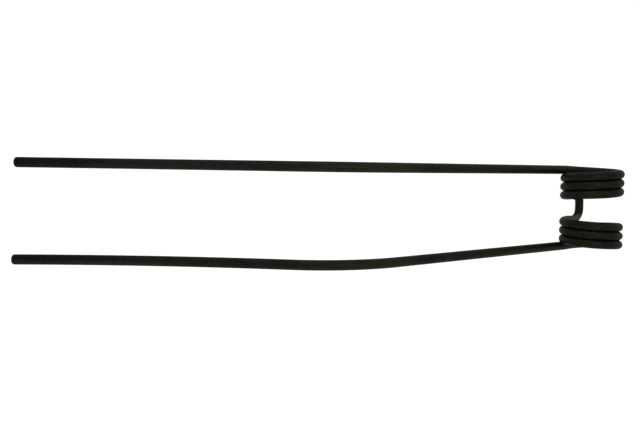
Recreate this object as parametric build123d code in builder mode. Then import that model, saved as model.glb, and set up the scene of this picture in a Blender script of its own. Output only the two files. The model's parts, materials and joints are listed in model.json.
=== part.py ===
from build123d import *

import os
from math import asin, atan, atan2, cos, degrees, pi, radians, sin

# A double spring tine for a hay rake, bent and wound from one length of round spring wire.
# Two tines side by side each run into a coil, and a short straight bridge joins the coils.
# It lies as it would on a floor, on the longer tine's tip and the underside of its coils or
# bridge, with the tines arched upwards. X runs from the tips to the coils, the coils' common
# axis is parallel to Y, and the origin is on the floor below the middle of the whole. Sizes
# are in millimetres.

# Wire
wire_diameter = 9.6  # with its paint
tip_rounding = 2.5

# Coils, wound all but close, mirror images of each other
coil_bore = 49.0
turn_gap = 0.1
full_turns = 3
extra_wind = 14.3  # degrees wound past the full turns before the bridge

# Bridge between the coils
bridge_straight = 8.2
bridge_corner_radius = 9.45

# Tines, measured along the centre of the wire. The far tine is the one on the +Y side.
# A tine leaves its coil with the coil's slope. A slight bend then levels it out, wide enough
# for the tine to clear the turn beside it.
level_out_radius = 220.0
inner_run = 277.3
knee_angle = 50.7
knee_radius = 116.8
outer_bow_radius = 1065.0
outer_run = 262.1
far_tine_shortfall = 3.5
far_tine_splay = 0.44  # degrees outwards

# Sizes that follow from those above
wire_radius = wire_diameter / 2
coil_radius = coil_bore / 2 + wire_radius
pitch = wire_diameter + turn_gap
lead = pitch / (2 * pi)
helix_slope = atan(lead / coil_radius)
helix_sweep = 2 * pi * full_turns + radians(extra_wind)
coil_end = radians(extra_wind - 90)
corner_reach = bridge_corner_radius * (1 - sin(helix_slope))

# How far from the middle of the bridge the helix starts
helix_start = bridge_straight / 2 + bridge_corner_radius * cos(helix_slope)

# The far tine is cut a little shorter than the other
far_outer_run = outer_run - far_tine_shortfall
longer_outer_run = max(outer_run, far_outer_run)


def tine_line(start, splay, run):
    """One tine's centre line in its own plane, from where it has levelled out to its tip."""
    straight = inner_run - level_out_radius * (helix_slope - radians(splay))
    inner = Line(start, (start[0] - straight, start[1]))
    knee = JernArc(inner @ 1, inner % 1, knee_radius, knee_angle)
    JernArc(knee @ 1, knee % 1, outer_bow_radius, -degrees(run / outer_bow_radius))


# The side view with the coil's centre at its origin and the inner run level. The rounded
# corners of the longer tine's tip are circles, one towards the floor and one away from it.
with BuildLine() as side_view:
    tine_line((-level_out_radius * sin(helix_slope), -coil_radius), 0, longer_outer_run)
heading = side_view.line % 1
rounding_centre = side_view.line @ 1 - heading * tip_rounding
to_corner = heading.rotate(Axis.Z, 90) * (wire_radius - tip_rounding)
lower_corner = rounding_centre + to_corner
upper_corner = rounding_centre - to_corner
bridge_in_side_view = Vector(
    coil_radius * cos(coil_end) - corner_reach * sin(coil_end),
    coil_radius * sin(coil_end) + corner_reach * cos(coil_end),
)


def floor_angle(centre, radius):
    """Slope of a floor that touches the tip's lower corner and a circle in the side view."""
    reach = centre - lower_corner
    return atan2(reach.Y, reach.X) - asin((radius - tip_rounding) / reach.length)


# At rest the coils or the bridge touch the floor, whichever reaches lower
rest_angle = min(
    floor_angle(Vector(0, 0), coil_radius + wire_radius),
    floor_angle(bridge_in_side_view, wire_radius),
)
along_floor = Vector(cos(rest_angle), sin(rest_angle))
up_from_floor = Vector(-sin(rest_angle), cos(rest_angle))
axis_height = tip_rounding - lower_corner.dot(up_from_floor)
tip_end = upper_corner.dot(along_floor) - tip_rounding
coil_x = -(tip_end + coil_radius + wire_radius) / 2

# The far tine's tip stands out sideways, so the coils' middle lies off the whole's
with BuildLine() as far_tine_view:
    tine_line((0, 0), far_tine_splay, far_outer_run)
tip_swing = -(far_tine_view.line @ 1).X * sin(radians(far_tine_splay))
coils_y = -tip_swing / 2


# The side view set down on the floor, halfway between the coils
middle = Plane(
    (coil_x, coils_y, axis_height),
    x_dir=(cos(rest_angle), 0, -sin(rest_angle)),
    z_dir=(0, -1, 0),
)
outwards = middle.x_dir * cos(coil_end) + middle.y_dir * sin(coil_end)
around = middle.y_dir * cos(coil_end) - middle.x_dir * sin(coil_end)
bridge_centre = middle.origin + outwards * coil_radius + around * corner_reach

# The two halves are swept from the middle of the bridge to their tips
with BuildPart() as spring_tine:
    for side, run, splay in ((1, far_outer_run, far_tine_splay), (-1, outer_run, 0)):
        sideways = Vector(0, side, 0)

        # Half the bridge and the corner into the coil
        with BuildLine(Plane(bridge_centre, x_dir=sideways, z_dir=around.cross(sideways))):
            half_bridge = Line((0, 0), (bridge_straight / 2, 0))
            JernArc(half_bridge @ 1, half_bridge % 1, bridge_corner_radius, 90 - degrees(helix_slope))

        # The coil
        turns = Helix(pitch, lead * helix_sweep, coil_radius, lefthand=side < 0, mode=Mode.PRIVATE)
        coil_base = Plane(middle.origin + sideways * helix_start, x_dir=outwards, z_dir=sideways)
        with BuildLine():
            coil = add(coil_base.location * turns).edge()

        # The slight bend that levels the wire out, and the tine in the plane that it then lies in
        with BuildLine(Plane(coil @ 1, x_dir=coil % 1, z_dir=middle.y_dir * side)):
            level_out = JernArc(coil @ 1, coil % 1, level_out_radius, degrees(helix_slope) - splay)
        back = -(level_out % 1)
        with BuildLine(Plane(level_out @ 1, x_dir=back, z_dir=back.cross(middle.y_dir))):
            tine_line((0, 0), splay, run)

        with BuildSketch(Plane(bridge_centre, z_dir=sideways)):
            Circle(wire_radius)
        sweep()

    tip_edges = spring_tine.edges().filter_by(GeomType.CIRCLE).sort_by(Axis.X)[:2]
    fillet(tip_edges, tip_rounding)

spring_tine.part.label = "spring_tine"
os.makedirs("parts", exist_ok=True)
export_step(spring_tine.part, "parts/spring_tine.step")
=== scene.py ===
import json
from collections import namedtuple
from itertools import accumulate, pairwise
from math import asin, atan, ceil, cos, hypot, pi, radians, sin, tan

import bpy
from mathutils import Matrix, Vector, noise


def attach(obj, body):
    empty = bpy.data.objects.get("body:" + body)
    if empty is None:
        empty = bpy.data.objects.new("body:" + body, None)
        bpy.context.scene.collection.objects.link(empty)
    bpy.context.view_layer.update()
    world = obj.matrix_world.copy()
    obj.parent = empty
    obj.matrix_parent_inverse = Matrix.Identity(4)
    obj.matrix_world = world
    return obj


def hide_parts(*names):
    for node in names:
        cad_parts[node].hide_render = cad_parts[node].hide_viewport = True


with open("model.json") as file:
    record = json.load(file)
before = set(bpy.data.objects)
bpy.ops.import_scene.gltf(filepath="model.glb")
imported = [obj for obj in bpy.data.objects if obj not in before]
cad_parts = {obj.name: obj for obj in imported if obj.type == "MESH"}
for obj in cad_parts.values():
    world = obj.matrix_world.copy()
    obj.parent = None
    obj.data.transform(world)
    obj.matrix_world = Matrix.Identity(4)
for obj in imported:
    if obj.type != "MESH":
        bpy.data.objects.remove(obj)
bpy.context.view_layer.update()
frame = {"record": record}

# The looks of a double spring tine for a hay rake: one length of round wire, painted black,
# seen from above on a pale floor. The wire's line follows the CAD part's sizes, in metres.

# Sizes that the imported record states
mounts = {mount["name"]: mount for mount in frame["record"]["mounts"]}
coil_axis = Vector(mounts["far_coil_bore"]["pos_m"])
coil_axis.y = mounts["bridge"]["pos_m"][1]
wire_radius = mounts["bridge"]["dims"]["r_mm"] / 1000
coil_radius = mounts["far_coil_bore"]["dims"]["r_mm"] / 1000 + wire_radius
bridge_straight = mounts["bridge"]["dims"]["length_mm"] / 1000

# Coils, and the bridge's corners as the CAD part has them
turn_gap = 0.0001
full_turns = 3
extra_wind = radians(14.3)
bridge_corner_radius = 0.00945

# Tines: 1 is the far one, -1 the near one
level_out_radius = 0.22
inner_run = 0.2773
inner_slope = radians(21.4996)
knee_radius = 0.1168
knee_angle = radians(50.7)
outer_bow_radius = 1.065
outer_runs = {1: 0.2586, -1: 0.2621}
splays = {1: radians(0.44), -1: 0.0}
tip_rounding = 0.0025

# What bending leaves on the bridge: how far its corners reach along it, the share by which it
# is narrower from above, and how far it has moved away from the tips. The last two fade out
# over a length of wire in each coil.
corner_spans = {1: 0.0069, -1: 0.0122}
bridge_narrowing = 0.07
bridge_shift = 0.00028
bridge_fades_over = 0.012

# How far the paint stands out from the CAD part, which all but closes the gaps between turns
paint_build = 0.00004

# Unevenness of the wire itself and of its cut faces
wire_waviness = 0.00002
waves_per_metre = 60.0
cut_unevenness = 0.00012
cut_waves_per_metre = 700.0

# Sizes that follow
pitch = 2 * wire_radius + turn_gap
lead = pitch / (2 * pi)
helix_slope = atan(lead / coil_radius)
total_wind = 2 * pi * full_turns + extra_wind
coil_end = extra_wind - radians(90)
corner_reach = bridge_corner_radius * (1 - sin(helix_slope))
helix_start = bridge_straight / 2 + bridge_corner_radius * cos(helix_slope)
helix_end = helix_start + lead * total_wind
painted_radius = wire_radius + paint_build
face_radius = painted_radius - tip_rounding

# The way out from the coils' axis to where the coils meet the bridge
towards_bridge = Vector((cos(coil_end - inner_slope), 0.0, sin(coil_end - inner_slope)))

# Fineness of the wire's mesh
ring_step = 0.0014
ring_sides = 40
rim_rings = 6
face_rings = 5

# The wire is laid out for baking as strips, one above the other, with a margin round each
bake_strips = 9
strip_margin = 0.03

# Paint runs from nearly black to a lighter grey, by painted light along the wire and by random
# patches
darker_paint = (0.003, 0.003, 0.0012)
cool_lighter_paint = (0.0445, 0.044, 0.0315)
warm_lighter_paint = (0.052, 0.0455, 0.0125)

# Painted light, from 0 to 1, by the distance from the tip: painted shade at the tip, then along
# the outer run, a painted highlight over the knee, then along the inner run and into the coil
tip_paint = ((0, 0), (0.06, 0))
inner_paint = ((0.5, 0.28), (0.62, 0.28), (0.68, 0.25))
thinness = {
    1: tip_paint + ((0.12, 0.5), (0.3, 0.45), (0.33, 0.78), (0.37, 0.74), (0.41, 0.22)) + inner_paint,
    -1: tip_paint + ((0.12, 0.3), (0.3, 0.33), (0.36, 0.68), (0.41, 0.14)) + inner_paint,
}

# How warm the lighter paint looks, from 0 to 1, by the distance from the tip
warmth = ((0, 0), (0.26, 0), (0.37, 0.6), (0.45, 1), (0.62, 1), (0.68, 0.6))

# Towards the tips, a painted highlight lightens the side of the wire that faces the near side: by how
# much, from and to which distance that fades out, and from and to which facing it sets in
tip_painted_highlight = {1: 0.25, -1: 0.5}
tip_highlight_fades_over = (0.08, 0.2)
tip_highlight_facings = (-0.25, 0.25)

# Patches, mottling and streaks make paint thinner and thicker. A streak is so many times as
# long as it is wide.
patch_size = 0.05
patches_vary = 0.08
mottle_size = 0.0026
mottle_varies = 0.22
streak_width = 0.0007
streak_stretch = 60
streaks_vary = 0.06

# Sheen, which comes and goes in large patches and in fine grit
paint_gloss = 0.25
sheen_size = 0.03
sheen_roughness = (0.36, 0.44)
grit_size = 0.0015
grit_varies = 0.04

# Relief: orange peel, drawing lines, and dust nibs with radii as shares of their spacing
peel_size = 0.0014
peel_height = 0.000008
line_width = 0.0004
line_stretch = 80
line_height = 0.000004
nibs_per_metre = 120.0
nib_radii = (0.03, 0.07)
nib_height = 0.00005

# The near corner has a grey painted highlight on one side. That sets in over shares of the way round
# the corner, and fades out over angles of the coil's first turn.
painted_highlight_grey = (0.21, 0.2, 0.135)
highlight_corner_shares = (0.1, 0.6)
highlight_turn_angles = (radians(15), radians(75))
highlight_faces_towards = Vector((0.6, -0.5, 0.6)).normalized()
corner_highlight_facings = (-0.5, 0.2)

# The corner's painted highlight and blotches add up, and the paint turns grey between two values of
# their sum
blotch_size = 0.0035
blotches_vary = 0.3
highlight_between = (0.3, 0.9)

# Camera, with its lens and sensor in millimetres
eye = Vector((-0.27729, 0.04962, 0.81237))
aim = Vector((-0.01924, -0.00611, 0.0))
roll = radians(0.515)
lens = 45.846
sensor_width = 36.0
nearest_seen = 0.01
furthest_seen = 60.0

# Area lights: name, place, target, size and watts
area_lights = (
    ("far_side", (-0.15, 1.8, 0.65), (0.3, 0.0, 0.0), (0.6, 0.4), 1.95),
    ("near_side", (-0.25, -1.6, 0.7), (-0.1, 0.0, 0.0), (0.8, 0.5), 1.66),
    ("over_knees", (0.05, 0.1, 1.5), (0.0, 0.0, 0.0), (0.7, 0.7), 1.65),
)

# Surround: how high a direction points, from -1 to 1, and the grey of the light from there
surround = ((-0.03, 0.277), (0.03, 0.32), (0.4, 0.225), (0.8, 0.256))
white = (1.0, 1.0, 1.0)

# Floor
floor_size = 40.0
floor_colour = (0.5, 0.5, 0.5)
floor_roughness = 0.9
floor_glow = 0.95

# What noise between 0 and 1 mostly lies between
noise_range = (0.3, 0.7)

# Sockets of a node that mixes two colours, by number
mix_share = 0
mix_first = 6
mix_second = 7
mix_result = 2

# A point of the wire's centre line, and from 0 to 1 how much the bridge's bending shows there
# and how strong the near corner's painted highlight may be there
Stop = namedtuple("Stop", "point bent rubbed", defaults=(0.0, 0.0))

# A ring round the centre line, with its distance along the wire from the far tip
Ring = namedtuple("Ring", "centre course radius along bent rubbed", defaults=(0.0, 0.0))

# A vertex of the wire, its place if the wire were straight, and its paint, from 0 to 1
Vertex = namedtuple("Vertex", "point straight thinness warmth rubbed", defaults=(0.0, 0.0, 0.0))


def steps(length):
    """Shares of a stretch of the wire, from just past 0 to 1, one for each of its rings."""
    count = max(2, ceil(length / ring_step))
    return [(i + 1) / count for i in range(count)]


def smooth_step(low, high, value):
    """A soft rise from 0 at the low value to 1 at the high one."""
    share = min(1.0, max(0.0, (value - low) / (high - low)))
    return share * share * (3 - 2 * share)


def by_distance(pairs, distance):
    """The value at a distance, in straight lines between pairs of distance and value."""
    for (low, before), (high, after) in pairwise(pairs):
        if distance <= high:
            return before + (after - before) * (distance - low) / (high - low)
    return pairs[-1][1]


def point_at(along, up, sideways):
    """A point measured from the middle of the coils' axis, with the inner runs level."""
    return coil_axis + Vector(
        (
            along * cos(inner_slope) + up * sin(inner_slope),
            sideways,
            up * cos(inner_slope) - along * sin(inner_slope),
        )
    )


def point_by_bridge(out, onwards, sideways):
    """A point out from the coils' axis to where they end, and onwards as the wire runs there."""
    along = out * cos(coil_end) - onwards * sin(coil_end)
    up = out * sin(coil_end) + onwards * cos(coil_end)
    return point_at(along, up, sideways)


def half_bridge(side):
    """From the middle of the bridge round its corner, which is most of a quarter ellipse."""
    span = corner_spans[side]
    corner_turn = radians(90) - asin(corner_reach * tan(helix_slope) / span)
    depth = corner_reach / (1 - cos(corner_turn))
    straight = helix_start - span * sin(corner_turn)
    line = []
    for t in (0.0, *steps(straight)):
        point = point_by_bridge(coil_radius, corner_reach, side * straight * t)
        line.append(Stop(point, bent=1.0))
    for t in steps((span + depth) / 2 * corner_turn):
        onwards = corner_reach - depth * (1 - cos(corner_turn * t))
        sideways = side * (straight + span * sin(corner_turn * t))
        # The near corner's painted highlight sets in round the corner
        rubbed = smooth_step(*highlight_corner_shares, t) if side < 0 else 0.0
        line.append(Stop(point_by_bridge(coil_radius, onwards, sideways), 1.0, rubbed))
    return line


def coil(side):
    """From the bridge's corner through all turns of a coil."""
    length = total_wind * hypot(coil_radius, lead)
    line = []
    for t in steps(length):
        turn = total_wind * t
        sideways = side * (helix_start + lead * turn)
        point = point_by_bridge(coil_radius * cos(turn), -coil_radius * sin(turn), sideways)
        bent = 1.0 - smooth_step(0, bridge_fades_over, length * t)
        # The near corner's painted highlight fades out over the coil's first turn
        rubbed = 1.0 - smooth_step(*highlight_turn_angles, turn) if side < 0 else 0.0
        line.append(Stop(point, bent, rubbed))
    return line


def led_by_bend(heading):
    """How far the slight bend leads towards the tips and outwards, up to a heading."""
    reach = level_out_radius * (sin(helix_slope) - sin(heading))
    outwards = level_out_radius * (cos(heading) - cos(helix_slope))
    return reach, outwards


def slight_bend(side):
    """From the coil through the bend that takes its slope out of the wire."""
    turn = helix_slope - splays[side]
    line = []
    for t in steps(level_out_radius * turn):
        reach, outwards = led_by_bend(helix_slope - turn * t)
        line.append(Stop(point_at(-reach, -coil_radius, side * (helix_end + outwards))))
    return line


def tine(side):
    """Straight inner run, knee, and an outer run that bows back to the tip."""
    splay = splays[side]
    reach, outwards = led_by_bend(splay)

    def in_tine(along, up):
        """A point of the tine's own plane, measured from where it has levelled out."""
        sideways = helix_end + outwards - along * sin(splay)
        return Stop(point_at(along * cos(splay) - reach, up, side * sideways))

    straight = inner_run - level_out_radius * (helix_slope - splay)
    line = [in_tine(-straight * t, -coil_radius) for t in steps(straight)]

    # Seen from the side, the knee turns left and the bow turns right, with negative numbers
    along, up, heading = -straight, -coil_radius, radians(180)
    bow_angle = outer_runs[side] / outer_bow_radius
    for radius, turn in ((knee_radius, knee_angle), (-outer_bow_radius, -bow_angle)):
        centre_along = along - radius * sin(heading)
        centre_up = up + radius * cos(heading)
        for t in steps(radius * turn):
            along = centre_along + radius * sin(heading + turn * t)
            up = centre_up - radius * cos(heading + turn * t)
            line.append(in_tine(along, up))
        heading += turn
    return line


def half_line(side):
    """Centre line of the wire from the middle of the bridge to one tip."""
    return half_bridge(side) + coil(side) + slight_bend(side) + tine(side)


def tip_profile():
    """Distance from the end and radius of each ring of a tip, from the middle of its face.

    On the flat face the distance is below zero, as if the face were folded straight out.
    """
    profile = []
    for i in range(1, face_rings):
        radius = face_radius * i / face_rings
        profile.append((radius - face_radius, radius))
    for i in range(rim_rings + 1):
        angle = radians(90) * i / rim_rings
        radius = painted_radius - tip_rounding * (1 - sin(angle))
        profile.append((tip_rounding * (1 - cos(angle)), radius))
    return profile


def wire_rings():
    """Rings along the whole wire, from the far tip to the near one."""
    line = half_line(1)[::-1] + half_line(-1)[1:]
    spans = [(after.point - before.point).length for before, after in pairwise(line)]
    distances = list(accumulate(spans, initial=0.0))
    total = distances[-1]

    far_end, near_end = line[0].point, line[-1].point
    far_course = (line[1].point - far_end).normalized()
    near_course = (near_end - line[-2].point).normalized()
    far_tip, near_tip = [], []
    for from_end, radius in tip_profile():
        depth = max(0.0, from_end)
        far_tip.append(Ring(far_end + far_course * depth, far_course, radius, from_end))
        near_tip.append(Ring(near_end - near_course * depth, near_course, radius, total - from_end))

    # The line's own points stop short of the tips' roundings
    between = []
    for i in range(1, len(line) - 1):
        if tip_rounding < distances[i] < total - tip_rounding:
            course = (line[i + 1].point - line[i - 1].point).normalized()
            point, bent, rubbed = line[i]
            between.append(Ring(point, course, painted_radius, distances[i], bent, rubbed))
    return far_tip + between + near_tip[::-1]


def paint_on(ring, wire_length, facing):
    """Painted light, warmth and the near corner's painted highlight where a ring's surface faces some
    way.
    """
    to_tip, side = min((ring.along, 1), (wire_length - ring.along, -1))
    to_tip = max(0.0, to_tip)
    at_tip = 1.0 - smooth_step(*tip_highlight_fades_over, to_tip)
    # Painted highlight over the knees and painted shade at the tips, by the distance from the tip
    painted_lightness = by_distance(thinness[side], to_tip)
    # A painted highlight on the side of the wire that faces the near side, towards the tips
    painted_lightness += tip_painted_highlight[side] * at_tip * smooth_step(*tip_highlight_facings, -facing.y)
    # The near corner's painted highlight, on the side that faces the light
    rubbed = ring.rubbed * smooth_step(*corner_highlight_facings, facing.dot(highlight_faces_towards))
    return painted_lightness, by_distance(warmth, to_tip), rubbed


def wire_vertex(ring, normal, turn, wire_length):
    """The vertex of a ring at an angle from its normal."""
    straight = Vector((ring.along, ring.radius * cos(turn), ring.radius * sin(turn)))
    wave = wire_waviness * noise.noise(straight * waves_per_metre)
    sideways = ring.course.cross(normal)
    out = (normal * cos(turn) + sideways * sin(turn)) * (ring.radius + wave)

    # What bending leaves on the bridge
    towards = towards_bridge * out.dot(towards_bridge)
    out -= (out - towards) * bridge_narrowing * ring.bent
    out += ring.course.cross(towards_bridge) * (bridge_shift * ring.bent)

    if ring.radius <= face_radius:
        out += ring.course * (cut_unevenness * noise.noise(straight * cut_waves_per_metre))
    paint = paint_on(ring, wire_length, out.normalized())
    return Vertex(ring.centre + out, straight, *paint)


def wire_vertices(rings):
    """The vertices of one ring after another, and then the middles of the two cut faces."""
    wire_length = rings[-1].along
    normal = rings[0].course.cross(towards_bridge).normalized()
    vertices = []
    for ring in rings:
        # The rings follow each other without a twist
        normal = (normal - ring.course * normal.dot(ring.course)).normalized()
        for j in range(ring_sides):
            vertices.append(wire_vertex(ring, normal, 2 * pi * j / ring_sides, wire_length))

    # As if folded straight out, the middle of a face lies on beyond its smallest ring
    for ring, onwards in ((rings[0], -1), (rings[-1], 1)):
        straight = Vector((ring.along + onwards * ring.radius, 0.0, 0.0))
        vertices.append(Vertex(ring.centre, straight))
    return vertices


def place_for_baking(row, j, strip, rows_in_strip):
    """Where a corner of a face lies in the layout for baking, which is 1 wide and 1 high."""
    across = row / rows_in_strip - strip
    up = strip + strip_margin + (1 - 2 * strip_margin) * j / ring_sides
    return 0.5 + (across - 0.5) * (1 - strip_margin / bake_strips), up / bake_strips


def wire_faces(ring_count):
    """Faces from one cut face's middle over all rings to the other's, and the baking layout."""
    last_row = ring_count + 1
    far_middle = ring_count * ring_sides
    near_middle = far_middle + 1

    def vertex(row, j):
        """The number of the vertex at a corner of a face."""
        if row == 0:
            return far_middle
        if row == last_row:
            return near_middle
        return (row - 1) * ring_sides + j % ring_sides

    rows_in_strip = ceil(last_row / bake_strips)
    faces, layout = [], []
    for row in range(last_row):
        strip = row // rows_in_strip
        for j in range(ring_sides):
            corners = [(row, j), (row, j + 1), (row + 1, j + 1), (row + 1, j)]
            if row == 0:
                corners = corners[1:]
            if row == last_row - 1:
                corners = corners[:3]
            faces.append([vertex(*corner) for corner in corners])
            for corner in corners:
                layout.extend(place_for_baking(*corner, strip, rows_in_strip))
    return faces, layout


def wire_mesh():
    """A tube along the whole wire, with what its paint needs to know of each vertex."""
    rings = wire_rings()
    vertices = wire_vertices(rings)
    faces, layout = wire_faces(len(rings))
    mesh = bpy.data.meshes.new("wire")
    mesh.from_pydata([tuple(v.point) for v in vertices], [], faces)
    mesh.polygons.foreach_set("use_smooth", [True] * len(mesh.polygons))
    mesh.uv_layers.new(name="OFBake").data.foreach_set("uv", layout)
    straight = mesh.attributes.new("straight_wire", "FLOAT_VECTOR", "POINT")
    straight.data.foreach_set("vector", [x for v in vertices for x in v.straight])
    # Painted light along the wire, warmth, and the near corner's painted highlight, for the paint
    for name in ("thinness", "warmth", "rubbed"):
        attribute = mesh.attributes.new(name, "FLOAT", "POINT")
        attribute.data.foreach_set("value", [getattr(v, name) for v in vertices])
    mesh.update()
    return mesh


def vertex_data(tree, name):
    """The node that reads what the mesh says of each vertex. There is one for each name."""
    node = tree.nodes.get(name) or tree.nodes.new("ShaderNodeAttribute")
    node.name = name
    node.attribute_name = name
    return node


def straight_wire(tree, along, across):
    """Places on the straight wire, times a number along it and another across it."""
    node = tree.nodes.new("ShaderNodeVectorMath")
    node.operation = "MULTIPLY"
    node.inputs[1].default_value = (along, across, across)
    tree.links.new(vertex_data(tree, "straight_wire").outputs["Vector"], node.inputs[0])
    return node.outputs["Vector"]


def ranged(tree, value, low, high, to_low, to_high):
    """A number that goes from to_low to to_high while the value goes from low to high."""
    node = tree.nodes.new("ShaderNodeMapRange")
    node.inputs["From Min"].default_value = low
    node.inputs["From Max"].default_value = high
    node.inputs["To Min"].default_value = to_low
    node.inputs["To Max"].default_value = to_high
    tree.links.new(value, node.inputs["Value"])
    return node.outputs["Result"]


def clouds(tree, size, low, high, stretch=1.0, detail=2.0):
    """Noise from low to high, with spots of a size across the wire, stretched along it."""
    node = tree.nodes.new("ShaderNodeTexNoise")
    node.inputs["Scale"].default_value = 1.0
    node.inputs["Detail"].default_value = detail
    tree.links.new(straight_wire(tree, 1 / (size * stretch), 1 / size), node.inputs["Vector"])
    return ranged(tree, node.outputs["Fac"], *noise_range, low, high)


def added(tree, *values):
    """The sum of some values."""
    total = values[0]
    for value in values[1:]:
        node = tree.nodes.new("ShaderNodeMath")
        tree.links.new(total, node.inputs[0])
        tree.links.new(value, node.inputs[1])
        total = node.outputs["Value"]
    return total


def set_or_link(tree, value, socket):
    """Gives a socket a colour, or the output of another node."""
    if isinstance(value, tuple):
        socket.default_value = (*value, 1)
    else:
        tree.links.new(value, socket)


def blend(tree, share, first, second):
    """A colour between two others."""
    node = tree.nodes.new("ShaderNodeMix")
    node.data_type = "RGBA"
    tree.links.new(share, node.inputs[mix_share])
    set_or_link(tree, first, node.inputs[mix_first])
    set_or_link(tree, second, node.inputs[mix_second])
    return node.outputs[mix_result]


def paint_colour(tree):
    """Darker and lighter paint by painted light and random mottling, and a blotchy painted highlight
    on the near corner.
    """
    # Painted light along the wire: highlight over the knees, shade at the tips, highlight near the
    # tips
    painted_lightness = vertex_data(tree, "thinness").outputs["Fac"]
    patches = clouds(tree, patch_size, -patches_vary, patches_vary)
    mottle = clouds(tree, mottle_size, -mottle_varies, mottle_varies)
    streaks = clouds(tree, streak_width, -streaks_vary, streaks_vary, streak_stretch)
    warm = vertex_data(tree, "warmth").outputs["Fac"]
    lighter_paint = blend(tree, warm, cool_lighter_paint, warm_lighter_paint)
    paint = blend(tree, added(tree, painted_lightness, patches, mottle, streaks), darker_paint, lighter_paint)

    # A blotchy grey painted highlight on the near corner
    rubbed = vertex_data(tree, "rubbed").outputs["Fac"]
    blotches = clouds(tree, blotch_size, -blotches_vary, blotches_vary)
    highlight_share = ranged(tree, added(tree, rubbed, blotches), *highlight_between, 0.0, 1.0)
    return blend(tree, highlight_share, paint, painted_highlight_grey)


def paint_roughness(tree):
    """Sheen that comes and goes with the spray."""
    sheen = clouds(tree, sheen_size, *sheen_roughness)
    grit = clouds(tree, grit_size, -grit_varies, grit_varies)
    return added(tree, sheen, grit)


def paint_relief(tree):
    """Orange peel, faint drawing lines and dust nibs, with heights in metres."""
    peel = clouds(tree, peel_size, 0.0, peel_height, detail=1.0)
    lines = clouds(tree, line_width, 0.0, line_height, line_stretch)
    dust = tree.nodes.new("ShaderNodeTexVoronoi")
    dust.inputs["Scale"].default_value = 1.0
    tree.links.new(straight_wire(tree, nibs_per_metre, nibs_per_metre), dust.inputs["Vector"])
    nibs = ranged(tree, dust.outputs["Distance"], *nib_radii, nib_height, 0.0)
    bump = tree.nodes.new("ShaderNodeBump")
    bump.inputs["Strength"].default_value = 1.0
    bump.inputs["Distance"].default_value = 1.0
    tree.links.new(added(tree, peel, lines, nibs), bump.inputs["Height"])
    return bump.outputs["Normal"]


def black_paint():
    """Satin black paint, sprayed on spring wire."""
    material = bpy.data.materials.new("black_paint")
    material.use_nodes = True
    tree = material.node_tree
    shader = tree.nodes["Principled BSDF"]
    shader.inputs["Specular IOR Level"].default_value = paint_gloss
    tree.links.new(paint_colour(tree), shader.inputs["Base Color"])
    tree.links.new(paint_roughness(tree), shader.inputs["Roughness"])
    tree.links.new(paint_relief(tree), shader.inputs["Normal"])
    return material


def build_wire():
    """The tine itself, which is one wire."""
    wire = bpy.data.objects.new("tine_wire", wire_mesh())
    bpy.context.scene.collection.objects.link(wire)
    wire.data.materials.append(black_paint())
    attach(wire, "root")
    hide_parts("spring_tine")


def pale_floor():
    """A dull pale material that is itself lit."""
    material = bpy.data.materials.new("pale_floor")
    material.use_nodes = True
    shader = material.node_tree.nodes["Principled BSDF"]
    shader.inputs["Base Color"].default_value = (*floor_colour, 1)
    shader.inputs["Roughness"].default_value = floor_roughness
    shader.inputs["Specular IOR Level"].default_value = 0.0
    shader.inputs["Emission Color"].default_value = (*white, 1)
    shader.inputs["Emission Strength"].default_value = floor_glow
    return material


def add_floor():
    """A floor that stays white with no shadow, and lights nothing: only the camera sees it."""
    half = floor_size / 2
    mesh = bpy.data.meshes.new("floor")
    corners = [(-half, -half, 0), (half, -half, 0), (half, half, 0), (-half, half, 0)]
    mesh.from_pydata(corners, [], [(0, 1, 2, 3)])
    mesh.materials.append(pale_floor())
    floor = bpy.data.objects.new("floor", mesh)
    bpy.context.scene.collection.objects.link(floor)
    floor.visible_glossy = False
    floor.visible_diffuse = False
    floor.visible_shadow = False


def add_area_light(name, place, target, size, watts):
    """A soft lamp, turned towards its target."""
    data = bpy.data.lights.new(name, "AREA")
    data.shape = "RECTANGLE"
    data.size, data.size_y = size
    data.energy = watts
    light = bpy.data.objects.new(name, data)
    light.location = place
    light.rotation_mode = "QUATERNION"
    light.rotation_quaternion = (Vector(target) - Vector(place)).to_track_quat("-Z", "Y")
    bpy.context.scene.collection.objects.link(light)


def add_surround():
    """Weak grey light from all around, in place of which the camera sees white."""
    world = bpy.data.worlds.new("studio")
    bpy.context.scene.world = world
    world.use_nodes = True
    tree = world.node_tree
    direction = tree.nodes.new("ShaderNodeTexCoord")
    parts = tree.nodes.new("ShaderNodeSeparateXYZ")
    tree.links.new(direction.outputs["Generated"], parts.inputs["Vector"])
    ramp = tree.nodes.new("ShaderNodeValToRGB")
    tree.links.new(ranged(tree, parts.outputs["Z"], -1.0, 1.0, 0.0, 1.0), ramp.inputs["Fac"])
    greys = ramp.color_ramp.elements
    while len(greys) < len(surround):
        greys.new(0.5)
    for element, (height, grey) in zip(greys, surround):
        element.position = (height + 1) / 2
        element.color = (grey, grey, grey, 1)
    seen = tree.nodes.new("ShaderNodeLightPath")
    colour = blend(tree, seen.outputs["Is Camera Ray"], ramp.outputs["Color"], white)
    tree.links.new(colour, tree.nodes["Background"].inputs["Color"])


def add_camera():
    """The photograph's view: from above the outer runs, a little towards the coils."""
    data = bpy.data.cameras.new("camera")
    data.sensor_width = sensor_width
    data.lens = lens
    data.clip_start = nearest_seen
    data.clip_end = furthest_seen
    camera = bpy.data.objects.new("camera", data)
    forward = (aim - eye).normalized()
    level = forward.cross(Vector((0, 1, 0))).normalized()
    right = level * cos(roll) + level.cross(forward) * sin(roll)
    turn = Matrix((right, right.cross(forward), -forward)).transposed()
    camera.matrix_world = Matrix.Translation(eye) @ turn.to_4x4()
    bpy.context.scene.collection.objects.link(camera)
    bpy.context.scene.camera = camera


build_wire()
add_floor()
for area_light in area_lights:
    add_area_light(*area_light)
add_surround()
add_camera()
bpy.context.scene.view_settings.view_transform = "Standard"
